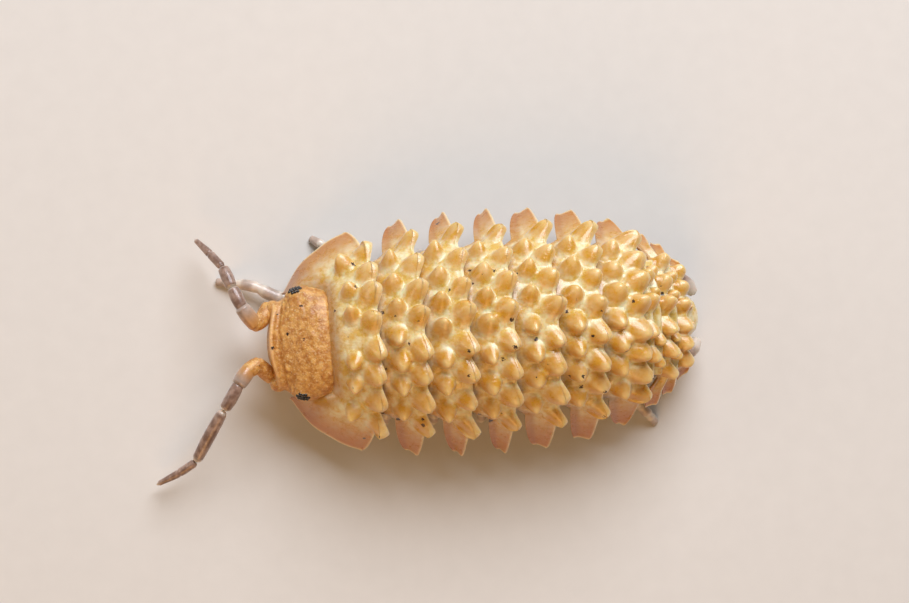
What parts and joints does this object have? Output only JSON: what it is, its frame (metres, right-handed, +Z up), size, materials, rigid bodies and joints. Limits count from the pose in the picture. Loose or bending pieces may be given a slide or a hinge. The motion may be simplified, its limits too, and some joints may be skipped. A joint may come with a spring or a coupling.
{
  "type": "woodlouse",
  "caption": "Life-size still model of a small spiny roller woodlouse standing on its feet, with tuberculate back plates and both feelers held out ahead.",
  "frame": {"origin": "on the floor under the feet, at the middle of the whole outline seen from above, feelers included", "axes": "+X from the head towards the tail, along the body; +Y towards the animal's right side; +Z up out of the back"},
  "size_m": [0.013, 0.006, 0.0034],
  "materials": {
    "plate": "glossy translucent amber chitin with cream-tipped tubercles",
    "head": "satin mottled tan chitin",
    "eye": "glossy black lenses set close",
    "feeler_base": "glossy amber chitin",
    "feeler": "glossy translucent greyish-pink chitin",
    "leg": "satin pale chitin"
  },
  "bodies": {
    "root": {"antenna_article_4_left": "feeler", "antenna_article_4_right": "feeler", "antenna_article_5_left": "feeler", "antenna_article_5_right": "feeler", "antenna_base_left": "feeler_base", "antenna_base_right": "feeler_base", "cephalon": "head", "eye_left": "eye", "eye_right": "eye", "flagellum_left": "feeler", "flagellum_right": "feeler", "leg_left_1": "leg", "leg_left_2": "leg", "leg_left_3": "leg", "leg_left_4": "leg", "leg_left_5": "leg", "leg_left_6": "leg", "leg_left_7": "leg", "leg_right_1": "leg", "leg_right_2": "leg", "leg_right_3": "leg", "leg_right_4": "leg", "leg_right_5": "leg", "leg_right_6": "leg", "leg_right_7": "leg", "maxilliped_left": "leg", "maxilliped_right": "leg", "pereonite_1": "plate", "pereonite_2": "plate", "pereonite_3": "plate", "pereonite_4": "plate", "pereonite_5": "plate", "pereonite_6": "plate", "pereonite_7": "plate", "pleonite_1": "plate", "pleonite_2": "plate", "pleonite_3": "plate", "pleonite_4": "plate", "pleonite_5": "plate", "pleopods": "leg", "telson": "plate", "uropod_left": "plate", "uropod_right": "plate"}
  },
  "joints": []
}
